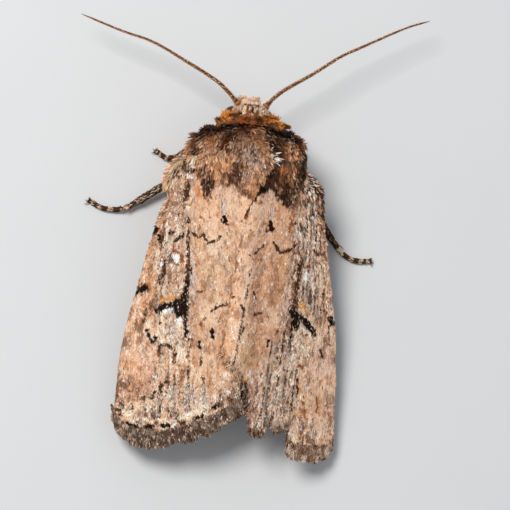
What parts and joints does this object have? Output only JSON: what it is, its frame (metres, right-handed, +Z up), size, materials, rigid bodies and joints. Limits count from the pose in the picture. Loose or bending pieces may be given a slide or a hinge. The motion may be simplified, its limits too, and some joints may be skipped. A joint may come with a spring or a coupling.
{
  "type": "moth",
  "caption": "Owlet moth at rest: wings closed like a low roof with one ragged tip, woolly thorax, orange collar, long thread antennae.",
  "frame": {"origin": "centre of the bounding box on the plane the feet stand on", "axes": "+Y towards the head, +X the moth's right side, +Z up from the floor through the back"},
  "size_m": [0.0218, 0.028, 0.0058],
  "materials": {
    "wing_scales": "matte mottled buff scales with dark marks",
    "under_scales": "matte pale brown scales",
    "body_wool": "matte woolly brown scales",
    "collar_scales": "matte orange-brown scales",
    "face_scales": "matte cream scales",
    "eye_lens": "glossy black compound lens",
    "leg_scales": "dark brown scales with cream rings",
    "antenna_horn": "ringed brown horn with pale scales"
  },
  "bodies": {
    "root": {"abdomen": "under_scales", "antenna_left": "antenna_horn", "antenna_right": "antenna_horn", "collar": "collar_scales", "eye_left": "eye_lens", "eye_right": "eye_lens", "fore_femur_left": "leg_scales", "fore_femur_right": "leg_scales", "fore_tarsus_left": "leg_scales", "fore_tarsus_right": "leg_scales", "fore_tibia_left": "leg_scales", "fore_tibia_right": "leg_scales", "forewing_left": "wing_scales", "forewing_right": "wing_scales", "head": "face_scales", "hind_femur_left": "leg_scales", "hind_femur_right": "leg_scales", "hind_tarsus_left": "leg_scales", "hind_tarsus_right": "leg_scales", "hind_tibia_left": "leg_scales", "hind_tibia_right": "leg_scales", "hindwing_left": "under_scales", "hindwing_right": "under_scales", "mid_femur_left": "leg_scales", "mid_femur_right": "leg_scales", "mid_tarsus_left": "leg_scales", "mid_tarsus_right": "leg_scales", "mid_tibia_left": "leg_scales", "mid_tibia_right": "leg_scales", "palp_left": "face_scales", "palp_right": "face_scales", "tegula_left": "collar_scales", "tegula_right": "collar_scales", "thorax": "body_wool"}
  },
  "joints": []
}
